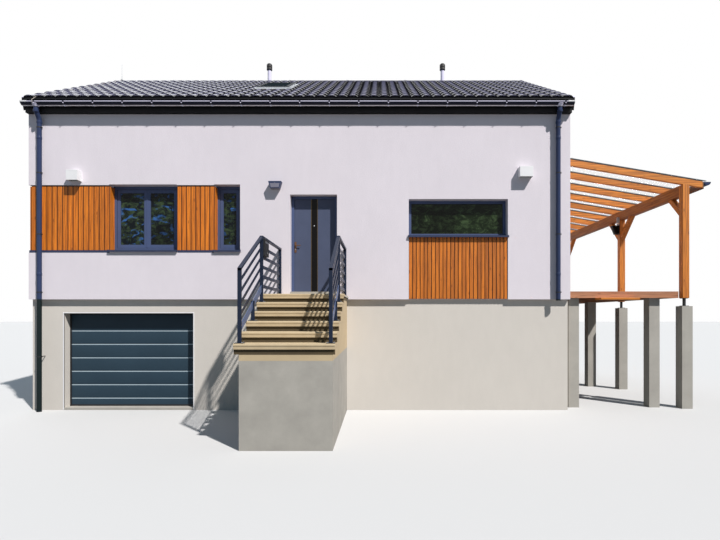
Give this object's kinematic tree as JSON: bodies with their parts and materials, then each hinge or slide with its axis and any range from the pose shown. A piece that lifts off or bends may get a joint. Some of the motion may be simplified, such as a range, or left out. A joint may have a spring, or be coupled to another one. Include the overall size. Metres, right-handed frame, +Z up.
{
  "type": "detached house",
  "caption": "Detached gable-roofed house on a slope, with a garage storey, a front stair with railings and a timber side pergola over a terrace.",
  "frame": {"origin": "centre of the house body's footprint, on the flat underside of the garage floor", "axes": "-Y is the front with the entry door and the garage door, +X is the pergola's side, +Z is up"},
  "size_m": [15.4, 10.76, 9.7376],
  "materials": {
    "plaster_white": "rough off-white render",
    "plaster_grey": "rough light warm grey render",
    "concrete": "rough cast concrete",
    "roof_timber": "planed softwood",
    "roof_metal": "semi-gloss anthracite coating",
    "dark_board": "matt black coating",
    "dark_metal": "satin anthracite coating",
    "dark_plastic": "matt black",
    "steel": "galvanised",
    "window_frame": "satin anthracite",
    "glass": "clear with dark room behind",
    "dark_glass": "dark glossy glass",
    "cladding_wood": "oiled orange-brown boards",
    "door_panel": "matt anthracite",
    "brass": "satin bronze tone",
    "white_plastic": "matt white",
    "garage_metal": "satin anthracite with fine ribs",
    "tread_stone": "fine beige stone",
    "railing_steel": "satin blue-anthracite coating",
    "pergola_wood": "glazed orange softwood",
    "rubber_seal": "matt black",
    "clear_sheet": "milky clear sheet",
    "deck_wood": "stained reddish-brown boards"
  },
  "bodies": {
    "house": {"garage_floor": "concrete", "garage_front_wall": "plaster_grey", "garage_back_wall": "plaster_grey", "garage_left_wall": "plaster_grey", "garage_right_wall": "plaster_grey", "main_floor": "concrete", "front_wall_left": "plaster_white", "front_wall_over_door": "plaster_white", "front_wall_right": "plaster_white", "door_threshold": "concrete", "back_wall": "plaster_white", "left_gable_wall": "plaster_white", "right_gable_wall": "plaster_white", "attic_floor": "concrete", "roof_deck_front": "roof_timber", "roof_deck_back": "roof_timber", "roof_skin_front": "roof_metal", "roof_skin_back": "roof_metal", "ridge_cap": "roof_metal", "verge_trims": "roof_metal", "eave_boards": "dark_board", "gutters": "dark_metal", "downpipes": "dark_metal", "roof_window_frame": "dark_metal", "roof_window_glass": "glass", "vent_stacks": "dark_plastic", "lightning_rod": "steel", "window_frames": "window_frame", "window_glass": "glass", "window_sills": "dark_metal", "cladding_left": "cladding_wood", "cladding_middle": "cladding_wood", "cladding_kitchen": "cladding_wood", "door_frame": "window_frame", "wall_lamp": "dark_metal", "vent_hoods": "white_plastic", "garage_door": "garage_metal", "stair_core": "concrete", "stair_treads": "tread_stone", "landing": "tread_stone", "railing_left": "railing_steel", "railing_right": "railing_steel", "letter_box": "dark_metal", "pergola_ledger": "pergola_wood", "pergola_rafters": "pergola_wood", "pergola_beam": "pergola_wood", "pergola_posts": "pergola_wood", "pergola_braces": "pergola_wood", "pergola_seals": "rubber_seal", "pergola_sheet": "clear_sheet", "pergola_side_board": "pergola_wood", "pergola_gutter": "dark_metal", "pergola_feet": "dark_metal", "pergola_piers": "concrete", "pergola_lamp": "dark_metal", "terrace_deck": "deck_wood", "terrace_step": "deck_wood"},
    "entry_door": {"door_leaf": "door_panel", "door_strip": "dark_glass", "door_handles": "brass"}
  },
  "joints": [
    {"name": "entry_door_hinge", "type": "hinge", "parent": "house", "child": "entry_door", "pos_m": [0.7915, -3.379, 3.7], "axis": [0, 0, -1], "range_deg": [0, 95]}
  ]
}
